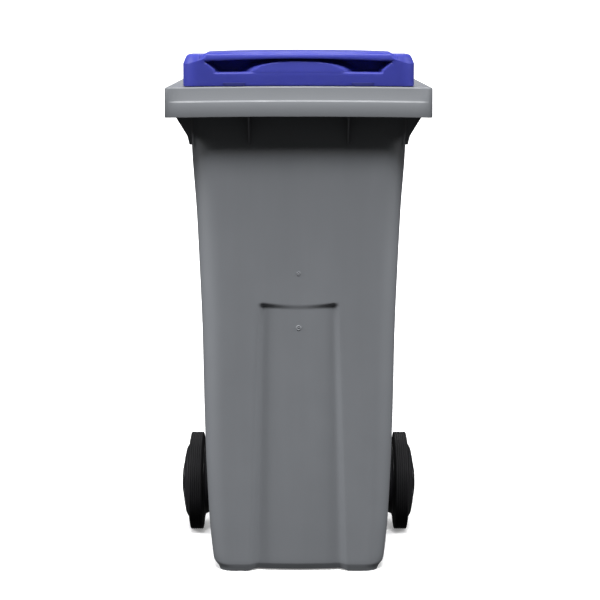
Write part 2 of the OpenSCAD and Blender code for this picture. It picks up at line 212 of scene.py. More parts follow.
def rounded(outline, r=1.0, steps=3):
    """Rounds an outline's corners by at most r; a corner given three numbers keeps its own r."""
    result = []
    n = len(outline)
    for i, p in enumerate(outline):
        own = p[2] if len(p) > 2 else r
        here = Vector(p[:2])
        if i in (0, n - 1) or own == 0:
            result.append((here.x, here.y))
            continue
        before, after = Vector(outline[i - 1][:2]) - here, Vector(outline[i + 1][:2]) - here
        cut = min(own, before.length * 0.45, after.length * 0.45)
        a, b = here + before.normalized() * cut, here + after.normalized() * cut
        for t in spread(0, 1, steps):
            q = a * (1 - t) ** 2 + here * 2 * t * (1 - t) + b * t * t
            result.append((q.x, q.y))
    return result


# ---- Materials ----


def principled(name):
    material = bpy.data.materials.new(name)
    material.use_nodes = True
    nodes, links = material.node_tree.nodes, material.node_tree.links
    return material, nodes, links, nodes["Principled BSDF"]


def noise(nodes, links, coords, scale, detail=4.0, rough=0.55):
    texture = nodes.new("ShaderNodeTexNoise")
    texture.inputs["Scale"].default_value = scale
    texture.inputs["Detail"].default_value = detail
    texture.inputs["Roughness"].default_value = rough
    links.new(coords, texture.inputs["Vector"])
    return texture.outputs["Fac"]


def ramp(nodes, links, value, low, high, from_value, to_value):
    scale = nodes.new("ShaderNodeMapRange")
    scale.inputs["From Min"].default_value = low
    scale.inputs["From Max"].default_value = high
    scale.inputs["To Min"].default_value = from_value
    scale.inputs["To Max"].default_value = to_value
    links.new(value, scale.inputs["Value"])
    return scale.outputs["Result"]


def mixed(nodes, links, factor, a, b):
    """Mixes two colours; each is a tuple or a socket."""
    node = nodes.new("ShaderNodeMix")
    node.data_type = "RGBA"
    links.new(factor, node.inputs["Factor"])
    for socket, colour in ((node.inputs[6], a), (node.inputs[7], b)):
        if isinstance(colour, tuple):
            socket.default_value = (*colour, 1.0)
        else:
            links.new(colour, socket)
    return node.outputs[2]


def shade(colour, k):
    return tuple(c * k for c in colour)


def moulded(name, colour, rough, grain=0.12, streak=0.05, scuff=0.25, specular=0.5, painted_light_band=None, glow=0.0):
    """Moulded plastic: flow streaks down the wall, fine grain, and pale scuffs on worn edges.

    The light band (low, high, gain) is painted light: above a height the colour is made paler by gain, over a
    soft band, standing in for the stronger light that falls on the collar. glow is the share of light that
    wanders through the plastic."""
    material, nodes, links, shader = principled(name)
    coords = nodes.new("ShaderNodeTexCoord").outputs["Object"]
    stretched = nodes.new("ShaderNodeMapping")
    stretched.inputs["Scale"].default_value = (1.0, 1.0, 0.12)
    links.new(coords, stretched.inputs["Vector"])
    flow = noise(nodes, links, stretched.outputs["Vector"], 14, 5)
    cloud = noise(nodes, links, coords, 5, 3)
    base = mixed(nodes, links, ramp(nodes, links, flow, 0.3, 0.7, 0, 1),
                 shade(colour, 1 - streak), shade(colour, 1 + streak))
    base = mixed(nodes, links, ramp(nodes, links, cloud, 0.35, 0.7, 0, 0.6), base, shade(colour, 1 - streak))
    # Painted light: above a height the colour is made paler, for the stronger light falling on the collar.
    if painted_light_band:
        low, high, gain = painted_light_band
        parts = nodes.new("ShaderNodeSeparateXYZ")
        links.new(coords, parts.inputs[0])
        painted_light_mask = ramp(nodes, links, parts.outputs["Z"], low, high, 0, 1)
        base = mixed(nodes, links, painted_light_mask, base, shade(colour, gain))
    edge = nodes.new("ShaderNodeNewGeometry").outputs["Pointiness"]
    patch = noise(nodes, links, coords, 60, 6, 0.7)
    worn = nodes.new("ShaderNodeMath")
    worn.operation = "MULTIPLY"
    links.new(ramp(nodes, links, edge, 0.53, 0.62, 0, scuff), worn.inputs[0])
    links.new(ramp(nodes, links, patch, 0.45, 0.65, 0, 1), worn.inputs[1])
    pale = tuple(min(1.0, c * 1.25 + 0.06) for c in colour)
    links.new(mixed(nodes, links, worn.outputs[0], base, pale), shader.inputs["Base Color"])
    smear = noise(nodes, links, coords, 22, 5, 0.6)
    links.new(ramp(nodes, links, smear, 0.3, 0.7, rough - 0.05, rough + 0.07), shader.inputs["Roughness"])
    shader.inputs["Specular IOR Level"].default_value = specular
    shader.inputs["Subsurface Weight"].default_value = glow
    shader.inputs["Subsurface Radius"].default_value = (0.6, 0.6, 1.0)
    shader.inputs["Subsurface Scale"].default_value = 0.02
    fine = noise(nodes, links, coords, 900, 2)
    wave = noise(nodes, links, coords, 9, 2)
    bump = nodes.new("ShaderNodeBump")
    bump.inputs["Strength"].default_value = grain
    bump.inputs["Distance"].default_value = 0.0004
    links.new(fine, bump.inputs["Height"])
    swell = nodes.new("ShaderNodeBump")
    swell.inputs["Strength"].default_value = 0.06
    swell.inputs["Distance"].default_value = 0.004
    links.new(wave, swell.inputs["Height"])
    links.new(bump.outputs["Normal"], swell.inputs["Normal"])
    links.new(swell.outputs["Normal"], shader.inputs["Normal"])
    return material


def rubber(name, colour, rough):
    """Solid rubber: dull and finely pitted, greyed by dust where it runs on the ground."""
    material, nodes, links, shader = principled(name)
    coords = nodes.new("ShaderNodeTexCoord").outputs["Object"]
    dust = noise(nodes, links, coords, 30, 6, 0.65)
    base = mixed(nodes, links, ramp(nodes, links, dust, 0.45, 0.75, 0, 0.5), colour,
                 tuple(c * 1.4 + 0.004 for c in colour))
    links.new(base, shader.inputs["Base Color"])
    shader.inputs["Specular IOR Level"].default_value = 0.15
    links.new(ramp(nodes, links, dust, 0.3, 0.7, rough - 0.06, rough + 0.08), shader.inputs["Roughness"])
    pits = noise(nodes, links, coords, 700, 3)
    bump = nodes.new("ShaderNodeBump")
    bump.inputs["Strength"].default_value = 0.25
    bump.inputs["Distance"].default_value = 0.0005
    links.new(pits, bump.inputs["Height"])
    links.new(bump.outputs["Normal"], shader.inputs["Normal"])
    return material


def plated(name, colour, rough):
    """Zinc-plated steel: fine turning marks and dull blotches."""
    material, nodes, links, shader = principled(name)
    shader.inputs["Metallic"].default_value = 1.0
    coords = nodes.new("ShaderNodeTexCoord").outputs["Object"]
    blotch = noise(nodes, links, coords, 45, 5, 0.6)
    base = mixed(nodes, links, ramp(nodes, links, blotch, 0.35, 0.7, 0, 1), colour, shade(colour, 0.72))
    links.new(base, shader.inputs["Base Color"])
    links.new(ramp(nodes, links, blotch, 0.3, 0.7, rough - 0.08, rough + 0.12), shader.inputs["Roughness"])
    turning = nodes.new("ShaderNodeMapping")
    turning.inputs["Scale"].default_value = (1.0, 0.05, 0.05)
    links.new(coords, turning.inputs["Vector"])
    marks = noise(nodes, links, turning.outputs["Vector"], 1500, 2)
    bump = nodes.new("ShaderNodeBump")
    bump.inputs["Strength"].default_value = 0.1
    bump.inputs["Distance"].default_value = 0.0002
    links.new(marks, bump.inputs["Height"])
    links.new(bump.outputs["Normal"], shader.inputs["Normal"])
    return material


GREY = (0.196, 0.206, 0.222)
BLUE = (0.060, 0.070, 0.420)
# Painted light: the tub is made 16% paler above 0.80 to 0.85 m, for the stronger light on its collar.
tub_plastic = moulded("tub_plastic", GREY, 0.46, painted_light_band=(0.80, 0.85, 1.16))
lid_plastic = moulded("lid_plastic", BLUE, 0.42, grain=0.06, streak=0.04, scuff=0.1, specular=0.2, glow=0.3)
hub_plastic = moulded("hub_plastic", (0.010, 0.010, 0.012), 0.45, grain=0.15, streak=0.1, specular=0.3)
pin_plastic = moulded("pin_plastic", (0.015, 0.015, 0.017), 0.40, grain=0.1, streak=0.1)
buffer_plastic = moulded("buffer_plastic", (0.038, 0.044, 0.26), 0.5, grain=0.1, streak=0.1)
tyre_rubber = rubber("tyre_rubber", (0.008, 0.008, 0.009), 0.66)
plated_steel = plated("plated_steel", (0.60, 0.61, 0.63), 0.34)
spring_steel = plated("spring_steel", (0.45, 0.45, 0.47), 0.30)


# ---- Rings in plan, counter-clockwise from above, starting at the left end of the front face ----

ARC_STEPS = 12
SIDE_STEPS = 15
REAR_STEPS = 24
FRONT_STOPS = (10, 8, 40, 8, 10)


def arc(cx, cy, r, a0):
    angles = [math.radians(a0 + 90 * i / ARC_STEPS) for i in range(ARC_STEPS + 1)]
    return [(cx + r * math.cos(a), cy + r * math.sin(a)) for a in angles]


def ring(hw, front, rear, r, fronts):
    """fronts are the points strictly between the two front corners."""
    right = [(hw, y) for y in spread(front + r, rear - r, SIDE_STEPS)[1:-1]]
    back = [(x, rear) for x in spread(hw - r, r - hw, REAR_STEPS)[1:-1]]
    left = [(-hw, y) for y in spread(rear - r, front + r, SIDE_STEPS)[1:-1]]
    return (fronts + arc(hw - r, front + r, r, -90) + right + arc(hw - r, rear - r, r, 0) + back
            + arc(r - hw, rear - r, r, 90) + left + arc(r - hw, front + r, r, 180))


def plane(y):
    """Height of the sloping plane through the collar's top."""
    return RIM_Z + (y - COLLAR_FRONT) * math.tan(SLOPE)


def crown(x):
    """The collar's front edges rise a little to the middle."""
    return 2.2 * (1 - (x / COLLAR_HW) ** 2)


# ---- Tub ----

WIDE = [(0, 148), (7, 151), (13, 156), (19, 159.4), (41, 162.6), (98, 167.8), (263, 175.2),
        (457, 179.5), (570, 184), (682, 189.5), (788, 197), (931, 201)]
FRONT = [(0, 185), (12.5, 189.5), (14, 189.9), (19, 190.4), (41, 191.6), (98, 194.5), (931, 229)]
REAR = [(0, 128), (7, 131), (13, 135), (19, 138), (41, 139.5), (98, 142), (931, 181)]
ROUND = [(0, 26), (19, 34), (931, 46)]
PANEL_TOP = 507.0
PANEL_DEPTH = 11.0
PANEL_SHOULDER = 10.0
PANEL_DIP = 4.0
FOOT_LIFT = 3.0
UNDER_Z = 10.0
FLOOR_Z = 16.0
RIM_RING_Z = 895.0


def panel_outer(z):
    return lookup(z, [(0, 92.5), (PANEL_TOP, 76)])


def panel_inner(z):
    return lookup(z, [(0, 75), (PANEL_TOP, 63.5)])


def panel_depth(x, z):
    """How far the recessed panel stands behind the wall's face: deep at its edges, shallow in its middle."""
    inner, outer = panel_inner(z), panel_outer(z)
    across = 1 - smooth((abs(x) - inner) / (outer - inner))
    share = min(1.0, abs(x) / inner) ** 2
    shallow = lookup(z, [(0, 0.45), (PANEL_TOP, 0.25)])
    middle = mix(shallow, 1, share)
    full = lookup(z, [(0, PANEL_DEPTH), (PANEL_TOP, 0.6 * PANEL_DEPTH)])
    top = PANEL_TOP - PANEL_DIP * (1 - share)
    return full * across * middle * smooth((top - z) / PANEL_SHOULDER)


def front_xs(end, inner, outer):
    stops = (-end, -outer, -inner, inner, outer, end)
    xs = []
    for a, b, n in zip(stops, stops[1:], FRONT_STOPS):
        xs += spread(a, b, n)[:-1]
    return xs[1:]


def wall_ring(z, inset=0.0):
    hw, r = curve(z, WIDE) - inset, lookup(z, ROUND) - inset
    front, rear = -(lookup if z < 19 else curve)(z, FRONT) + inset, curve(z, REAR) - inset
    xs = front_xs(hw - r, panel_inner(z), panel_outer(z))
    return ring(hw, front, rear, r, [(x, front + panel_depth(x, z)) for x in xs])


def at_height(flat, z):
    return [(x, y, z) for x, y in flat]


def lifted_foot(flat, z):
    """The foot is lifted a little across the front panel."""
    outer = panel_outer(0)
    points = []
    for x, y in flat:
        across = 1 - smooth((abs(x) - outer + 8) / 12) if y < -100 else 0
        points.append((x, y, z + FOOT_LIFT * across * max(0, 1 - z / 16)))
    return points


def on_plane(flat, dz):
    return [(x, y, plane(y) + dz) for x, y in flat]


def on_collar(flat, dz):
    return [(x, y, plane(y) + dz + (crown(x) if y < COLLAR_FRONT + 20 else 0)) for x, y in flat]


def collar_ring(inset, set_back=0.0):
    hw, front, rear = COLLAR_HW - inset, COLLAR_FRONT + inset, COLLAR_REAR - inset
    r = max(COLLAR_R - inset, 2.0)
    end = COLLAR_HW - COLLAR_R
    xs = front_xs(hw - r, 0.3 * end, 0.6 * end)
    fronts = [(x, front + set_back * smooth((end - 1 - abs(x)) / 4)) for x in xs]
    return ring(hw, front, rear, r, fronts)


def between(a, b, n):
    """n rings between rings a and b, the ends left out."""
    rings = []
    for t in spread(0, 1, n + 1)[1:-1]:
        rings.append([tuple(mix(p, q, t) for p, q in zip(u, v)) for u, v in zip(a, b)])
    return rings


def skirt_rows():
    """The collar's skirt from its inside top, round its lower edge and up its outside to the top face."""
    back, below, above = RIDGE_BACK, FRONT_LEAN / 2, RIDGE_BACK - FRONT_LEAN / 2
    inside = [(WALL, -WALL, back), (WALL, -SKIRT_H + 0.8, back), (WALL - 0.4, -SKIRT_H + 0.2, back),
              (WALL - 1, -SKIRT_H, back)]
    edge = [(1, -SKIRT_H, 0), (0.3, -SKIRT_H + 0.3, 0), (0, -SKIRT_H + 1, 0)]
    ridge = [(0, -RIDGE_Z - 2.2, below), (0, -RIDGE_Z - 1.7, below + 0.15), (0, -RIDGE_Z + 0.6, above - 0.2),
             (0, -RIDGE_Z + 1.1, above)]
    top = [(0, -3.2, back), (0.25, -1.9, back), (0.9, -0.8, back), (1.9, -0.2, back), (3.2, 0, back)]
    return [on_collar(collar_ring(inset, back), dz) for inset, dz, back in inside + edge + ridge + top]


def tub_shell(shape):
    foot = [0, 0.6, 2, 4.5, 7, 10, 12.5, 13.2, 14, 15.5, 17.5, 19, 22, 26, 32, 41]
    low = spread(41, PANEL_TOP - 18, 38)[1:]
    shoulder = spread(PANEL_TOP - 18, PANEL_TOP + 3, 14)[1:]
    high = spread(PANEL_TOP + 3, 788, 24)[1:]
    start = wall_ring(0, 30)
    rows = [at_height(start, UNDER_Z)]
    rows += [at_height(wall_ring(0, 16), UNDER_Z), lifted_foot(wall_ring(0, 13), 1),
             lifted_foot(wall_ring(0, 12), 0)]
    rows += [lifted_foot(wall_ring(z), z) for z in foot]
    rows += [at_height(wall_ring(z), z) for z in low + shoulder + high]
    neck = on_plane(wall_ring(RIM_RING_Z), -WALL)
    rows += between(rows[-1], neck, 8) + [neck]
    rows += between(neck, on_collar(collar_ring(WALL, RIDGE_BACK), -WALL), 2)
    rows += skirt_rows()
    rim = on_plane(wall_ring(RIM_RING_Z, 0.3), 0)
    rows += between(rows[-1], rim, 3) + [rim]
    rain_lip = ((0.4, 1), (1.2, 0), (WALL - 1, 0), (WALL, 1))
    rows += [on_plane(wall_ring(RIM_RING_Z, inset), RAIN_LIP_H - drop) for inset, drop in rain_lip]
    rows += [at_height(wall_ring(z, WALL), z) for z in (low + shoulder + high)[::-1]]
    rows += [at_height(wall_ring(41, WALL), 41), at_height(wall_ring(41, WALL + 1.5), 30),
             at_height(wall_ring(41, WALL + 5), 21), at_height(wall_ring(41, WALL + 12), FLOOR_Z)]
    shape.loft(rows, first=(0, -20, UNDER_Z), last=(0, -20, FLOOR_Z))


GUSSET_X = 90.0
SIDE_GUSSETS = (-205.0, -80.0, 40.0, 150.0)
RIB = 3.0
LUG_R = 14.0
LUG_T = 8.0
LUG_XS = (138.0, 182.0)
BRACKET_BASE_Z = 850.0
HANDLE_R = 13.5
AXLE_RIBS = (-134.0, -50.0, 50.0, 134.0)
AXLE_LUG_R = 21.0
BOSS_R = 16.0
BOSS_END = 180.0
CHIP = (150.0, -246.5)
CHIP_R = 15.0
CHIP_MOUTH_Z = 881.0


def in_yz(x):
    return lambda u, w, d: (x + d, u, w)


def in_xz(side, y):
    return lambda u, w, d: (side * u, y + d, w)


def about_x(y, z):
    return lambda h, a, b: (h, y + a, z + b)


def collar_gussets(shape):
    sink = 2.0
    inside = COLLAR_FRONT + WALL + RIDGE_BACK - 1
    for x in (-GUSSET_X, GUSSET_X):
        outline = [(inside, RIM_Z - WALL + 1), (inside, RIM_Z - SKIRT_H + 4), (-curve(795, FRONT), 795),
                   (-curve(795, FRONT) + sink, 795), (-curve(RIM_RING_Z, FRONT) + sink, RIM_Z)]
        shape.plate(outline, in_yz(x), RIB, bevel=0.6)
    for side in SIDES.values():
        for y in SIDE_GUSSETS:
            base = plane(y) - SKIRT_H
            drop = base - (RIM_Z - SKIRT_H)
            top = plane(y) - WALL + 1
            low = 791 + drop
            inside_x = COLLAR_HW - WALL + 1
            outline = [(inside_x, top), (inside_x, base + 6), (226, base), (203.8, 808 + drop), (200.2, low),
                       (curve(low, WIDE) - sink, low), (curve(RIM_RING_Z, WIDE) - sink, top)]
            shape.plate(outline, in_xz(side, y), RIB, bevel=0.6)


def rear_brackets(shape):
    around = [(HINGE.y + LUG_R * math.cos(a), HINGE.z + LUG_R * math.sin(a))
              for a in [math.radians(d) for d in spread(-72, 90, 14)]]
    base_y, top_y = curve(BRACKET_BASE_Z, REAR) - 2, curve(RIM_RING_Z, REAR) - 2
    outline = [(base_y, BRACKET_BASE_Z)] + around + [(191, plane(COLLAR_REAR) - 1), (top_y, plane(top_y) - 2)]
    for side in SIDES.values():
        for x in LUG_XS:
            shape.plate(outline, in_yz(side * x), LUG_T, bevel=1.0)


def handle_bar(shape):
    end = LUG_XS[0] - LUG_T / 2 + 1
    outline = [(HANDLE_R + 4, -end), (HANDLE_R + 1.2, -end + 2), (HANDLE_R, -end + 5)]
    for x in spread(-end + 14, end - 14, 20):
        groove = ((0, -3.4), (0.5, -2.6), (0.5, 2.6), (0, 3.4))
        outline += [(HANDLE_R - cut, x + along) for cut, along in groove]
    outline += [(HANDLE_R, end - 5), (HANDLE_R + 1.2, end - 2), (HANDLE_R + 4, end)]
    outline = [(min(r, LUG_R - 0.1), h) for r, h in outline]
    shape.turned(outline, about_x(HINGE.y, HINGE.z), steps=64)


def axle_supports(shape):
    around = [(AXLE.y + AXLE_LUG_R * math.cos(a), AXLE.z + AXLE_LUG_R * math.sin(a))
              for a in [math.radians(d) for d in spread(-100, 74, 16)]]
    outline = [(lookup(64, REAR) - 2, 64)] + around + [(lookup(176, REAR) - 2, 176)]
    bore = AXLE_HIGH.z - AXLE.z + 0.05
    for x in AXLE_RIBS:
        shape.plate(outline, in_yz(x), 8, bevel=1.0)
    for side in SIDES.values():
        start = side * AXLE_RIBS[3]
        wall = [(BOSS_R, start), (BOSS_R, side * (BOSS_END - 1)), (BOSS_R - 1, side * BOSS_END),
                (bore + 0.5, side * BOSS_END), (bore, side * (BOSS_END - 0.5)), (bore, start)]
        shape.turned(wall, about_x(AXLE.y, AXLE.z), steps=48)


def chip_nest(shape):
    outer = CHIP_R + 3
    outline = [(outer, RIM_Z - 2), (outer, CHIP_MOUTH_Z + 1), (outer - 1, CHIP_MOUTH_Z),
               (CHIP_R + 0.6, CHIP_MOUTH_Z), (CHIP_R, CHIP_MOUTH_Z + 0.6),
               (CHIP_R, CHIP_MOUTH_Z + 10), (0.01, CHIP_MOUTH_Z + 10)]
    shape.turned(outline, lambda h, a, b: (CHIP[0] + a, CHIP[1] + b, h), steps=48)


def gate_mark(shape, z, r):
    """The round trace of the moulding gate on the front wall."""
    y = -curve(z, FRONT) + panel_depth(0, z)
    outline = [(r, 0.4), (0.85 * r, -0.5), (0.7 * r, -1.1), (0.55 * r, -0.9), (0.42 * r, -0.3),
               (0.32 * r, -0.5), (0.2 * r, -1.4), (0.01, -1.6)]
    shape.turned(outline, lambda h, a, b: (a, y + h - b * 0.04, z + b), steps=32)


def make_tub():
    shell = Shape()
    tub_shell(shell)
    shell.build("tub_shell", tub_plastic, "tub", ["body_tub"], sharp=28)
    ribs = Shape()
    collar_gussets(ribs)
    rear_brackets(ribs)
    handle_bar(ribs)
    axle_supports(ribs)
    chip_nest(ribs)
    gate_mark(ribs, 459.5, 5.5)
    gate_mark(ribs, 560, 4.2)
    ribs.build("tub_ribs", tub_plastic, "tub", ["body_tub"])


# ---- Lid: v runs back along the collar's slope from its front edge, and w stands square to it ----

LID_R = 30.0
LID_WALL = 4.0
RECESS_DEPTH = 28.0
LIP_END = 165.0
LIP_W = 49.0


def lid_point(x, v, w):
    along, up = math.cos(SLOPE), math.sin(SLOPE)
    return (x, COLLAR_FRONT + v * along - w * up, RIM_Z + v * up + w * along)


def shoulder(v):
    """Height of the lid's shoulders."""
    return curve(v, [(0, 58), (90, 58.5), (250, 55), (400, 43), (470, 34)])


def field(x, v):
    """The raised middle field on top of the shoulders."""
    across = curve(abs(x), [(0, 1), (60, 0.95), (120, 0.82), (160, 0.64)]) * (1 - smooth((abs(x) - 162) / 12))
    return across * curve(v, [(0, 1.5), (20, 4.5), (80, 7.6), (250, 4.9), (400, 2.5), (430, 0)])


def lid_top(x, v):
    return shoulder(v) + field(x, v)


def recess(x, w):
    """Depth of the hand recess: two pockets, and a round hump between them that leans back as it rises."""
    hump = math.hypot(x / 84, max(0, w - 26) / 19)
    past_hump = smooth((hump - 0.92) / 0.42)
    pocket_end = mix(148, LIP_END, smooth((w - 26) / 23))
    inside = smooth((pocket_end + 4 - abs(x)) / 11)
    lean = 0.12 * max(0, w - 25)
    return inside * max(RECESS_DEPTH * past_hump, min(lean, RECESS_DEPTH))


def lip_share(x):
    """1 under the lip, 0 on the corner blocks."""
    return 1 - smooth((abs(x) - LIP_END + 1) / 8)


def droop(x):
    """How far the lip's lower edge falls towards its ends."""
    return 4.0 * min(1.0, abs(x) / LIP_END) ** 2


def crease(x):
    """Height at which the corner blocks start to lean back."""
    return lookup(abs(x), [(165, 51), (197, 41.5)])


def lid_xs(end):
    stops = [k * end / 178 for k in (-178, -142, -100, 100, 142, 178)]
    xs = []
    for a, b, n in zip(stops, stops[1:], (18, 12, 44, 12, 18)):
        xs += spread(a, b, n)[:-1]
    return xs[1:]


def lid_row(inset, w, back, lip_back=None, lip_w=None, r=LID_R):
    """One row: w and back on the corner blocks and sides, lip_w and lip_back(x) across the lip."""
    r = max(r, 3.0)
    hw = LID_HW - inset
    points = []
    fronts = [(x, LID_FRONT + inset) for x in lid_xs(hw - r)]
    n = len(fronts)
    for i, (x, v) in enumerate(ring(hw, LID_FRONT + inset, LID_REAR - inset, r, fronts)):
        block_w = w(x) if callable(w) else w
        height = block_w * shoulder(v) / shoulder(0)
        if i < n:
            share = lip_share(x) if lip_back is not None else 0
            v = mix(LID_FRONT + back, LID_FRONT + (lip_back(x) if lip_back else 0), share)
            across = lip_w(x) if callable(lip_w) else lip_w
            height = mix(height, height if across is None else across, share)
        points.append(lid_point(x, v, height + (crown(x) if v < 45 else 0)))
    return points


def top_row(inset, back=None, dw=0.0, r=3.0):
    """A row that lies on the top surface, dw below it; back(x) places its front stretch."""
    r = max(r, 3.0)
    hw = LID_HW - inset
    fronts = [(x, LID_FRONT + (back(x) if back else inset)) for x in lid_xs(hw - r)]
    flat = ring(hw, LID_FRONT + inset, LID_REAR - inset, r, fronts)
    return [lid_point(x, v, lid_top(x, v) - dw + crown(x) * (1 - smooth(v / 60))) for x, v in flat]


def lid_outside():
    rows = [lid_row(0.8, LID_GAP, 0.8), lid_row(0.2, LID_GAP + 0.4, 0.2), lid_row(0, LID_GAP + 1.2, 0)]
    rows += [lid_row(0, w, 0) for w in (6, 12, 18, 21)]
    shelf = ((22.3, 0.15), (23.4, 0.5), (24.3, 1.1), (25.0, 2.0), (25.5, 3.2))
    rows += [lid_row(0, w, 0, lambda x, b=b: min(b, recess(x, 27)), w) for w, b in shelf]
    for k in (0.3, 0.6, 0.9):
        rows.append(lid_row(0, 25.6 + 0.3 * k, 0,
                            lambda x, k=k: max(min(3.2, recess(x, 27)), k * recess(x, 27.5)), 25.6 + 0.8 * k))
    for k, w in enumerate((27.5, 29, 31, 33, 35, 37, 39, 41, 43, 45, 47)):
        rows.append(lid_row(0, 26.5 + 0.9 * k, 0, lambda x, w=w: recess(x, w), w))
    ceiling = ((49.5, 1.0), (52, 0.96), (53.5, 0.8), (54, 0.5), (53.8, 0.22), (53, 0.12), (51, 0.09))
    for k, (w, share) in enumerate(ceiling):
        rows.append(lid_row(0, 36.5 + 0.25 * k, 0, lambda x, s=share: recess(x, 49.5) * s,
                            lambda x, w=w: w - droop(x)))
    lip = ((0.6, 1.6, 1), (0, 0.6, 1), (0, -0.6, 1), (0.7, -1.6, 0.9), (2.4, -2.2, 0.7), (4.6, -1.9, 0.4),
           (6.6, -1.2, 0.15))
    for k, (up, back, fall) in enumerate(lip):
        rows.append(lid_row(0, lambda x, k=k: crease(x) - 1.6 + 0.25 * k, 0, lambda x, b=back: b,
                            lambda x, u=up, f=fall: LIP_W + u - f * droop(x)))
    lean = ((0.1, 0.25), (0.6, 1.2), (2.4, 5.5), (4.5, 10.5), (6.2, 13.4), (7.8, 15.0))
    for k, (inset, rise) in enumerate(lean):
        back = 1.0 + 1.25 * inset
        rows.append(lid_row(inset, lambda x, s=rise / 16.5: mix(crease(x), 58, s), back,
                            lambda x, k=k: -0.8 + 0.8 * k, LIP_W + 7.4 + 0.32 * k, r=LID_R - inset))
    rows.append(top_row(10, lambda x: mix(15, 5.5, lip_share(x)), r=20))
    rows.append(top_row(13, lambda x: mix(18, 9, lip_share(x)), r=17))
    rows += [top_row(inset, lambda x, b=inset: b, r=20 - 0.6 * inset)
             for inset in (20, 27, 32, 34, 36, 38, 40, 42, 45, 50)]
    rows += [top_row(inset) for inset in (60, 75, 95, 120, 150, 180, 200)]
    return rows


def lid_inside():
    behind = RECESS_DEPTH + LID_WALL
    rows = [top_row(inset, dw=LID_WALL) for inset in (180, 140, 100, 70, 56)]
    rows += [top_row(inset, lambda x, b=back: b, LID_WALL) for inset, back in ((46, 54), (37, 48), (26, 43))]
    rows.append(top_row(14, lambda x: mix(14, behind + 6, lip_share(x)), LID_WALL + 1, r=16))
    rows.append(lid_row(LID_WALL + 2, 49, LID_WALL + 4, lambda x: behind + 2, 50, r=24))
    rows.append(lid_row(LID_WALL, 44, LID_WALL, lambda x: recess(x, 44) + LID_WALL, 46, r=26))
    rows += [lid_row(LID_WALL, 30 + k, LID_WALL, lambda x, w=w: recess(x, w) + LID_WALL, w, r=26)
             for k, w in ((8, 40), (4, 35), (0, 30))]
    rows.append(lid_row(LID_WALL, 25, LID_WALL, lambda x: recess(x, 27) + LID_WALL, 24.5, r=26))
    rows += [lid_row(LID_WALL, w, LID_WALL, r=26) for w in (23, 12, LID_GAP + 1)]
    rows.append(lid_row(LID_WALL - 0.8, LID_GAP, LID_WALL - 0.8, r=27))
    return rows


KNUCKLE_W = 34.0
ARM_X = sum(LUG_XS) / 2


def lid_arms(shape):
    around = [(HINGE.y + LUG_R * math.cos(a), HINGE.z + LUG_R * math.sin(a))
              for a in [math.radians(d) for d in spread(198, 438, 22)]]
    outline = [(184, 939), (208, 938.5), (238, 934)] + around + [(236, 953), (206, 960.5), (184, 961)]
    for side in SIDES.values():
        shape.plate(outline, in_yz(side * ARM_X), KNUCKLE_W, bevel=1.6)


def make_lid():
    shell = Shape()
    shell.loft(lid_inside() + lid_outside(), first=lid_point(0, 235, lid_top(0, 235) - LID_WALL),
               last=lid_point(0, 235, lid_top(0, 235)))
    lid_arms(shell)
    shell.build("lid_shell", lid_plastic, "lid", ["lid"], sharp=30)


def make_buffers():
    """Plain soft stops let into the lid's front edge."""
    for name, side in SIDES.items():
        node = f"lid_buffer_{name}"
        low, high = box_mm(node)
        middle, half = (low + high) / 2, (high - low) / 2
        shape = Shape()
        tilt = Matrix.Rotation(SLOPE, 3, "X")
        outline = [(-half.x + 5, -3.3), (half.x - 5, -3.3), (half.x, 3.3), (-half.x, 3.3)]
        shape.plate(outline, lambda u, w, d: middle + tilt @ Vector((u, d, w)), 1.5, bevel=0.5)
        shape.build(node + "_piece", buffer_plastic, "lid", [node])


# ---- Wheels: outlines are (distance from the axle, distance from the middle of the bin) ----

WHEEL_R = TYRE_HIGH.z - AXLE.z
WHEEL_OUT = HUB_HIGH.x + 1
HUB_IN = HUB_LOW.x
TYRE_IN = 197.0
TYRE_OUT = 222.7
RIM_R = WHEEL_R - 25
RIM_IN = 194.0
RIM_OUT = 227.0
WEB_IN = 209.5
CAP_R = 27.0
SPOKES = 10
TREAD_GROOVES = 5


def on_side(side):
    return lambda h, a, b: (side * h, AXLE.y + a, AXLE.z + b)


def tyre_outline():
    """Tread with fine grooves round it, and nearly straight sides."""
    inside = [(RIM_R + 0.05, RIM_IN + 0.5), (84, RIM_IN + 1.5), (97, TYRE_IN), (98.7, TYRE_IN + 0.4)]
    tread = [(WHEEL_R, TYRE_IN + 1.7)]
    for x in spread(TYRE_IN + 4.6, TYRE_OUT - 4.4, TREAD_GROOVES - 1):
        tread += [(WHEEL_R, x - 0.9, 0.2), (WHEEL_R - 1.1, x - 0.35, 0.2), (WHEEL_R - 1.1, x + 0.35, 0.2),
                  (WHEEL_R, x + 0.9, 0.2)]
    outside = [(WHEEL_R, TYRE_OUT - 1.4), (98.7, TYRE_OUT), (88, TYRE_OUT + 2.1),
               (RIM_R + 1.5, RIM_OUT - 0.4), (RIM_R + 0.05, RIM_OUT)]
    return rounded(inside + tread + outside, 0.8)


def hub_face(r):
    """Distance of the hub's domed outer face from the middle of the bin."""
    return lookup(r, [(CAP_R, WHEEL_OUT - 1), (40, 237.6), (54, 235.3), (67, 232),
                      (RIM_R - 1.5, RIM_OUT + 1.5)])


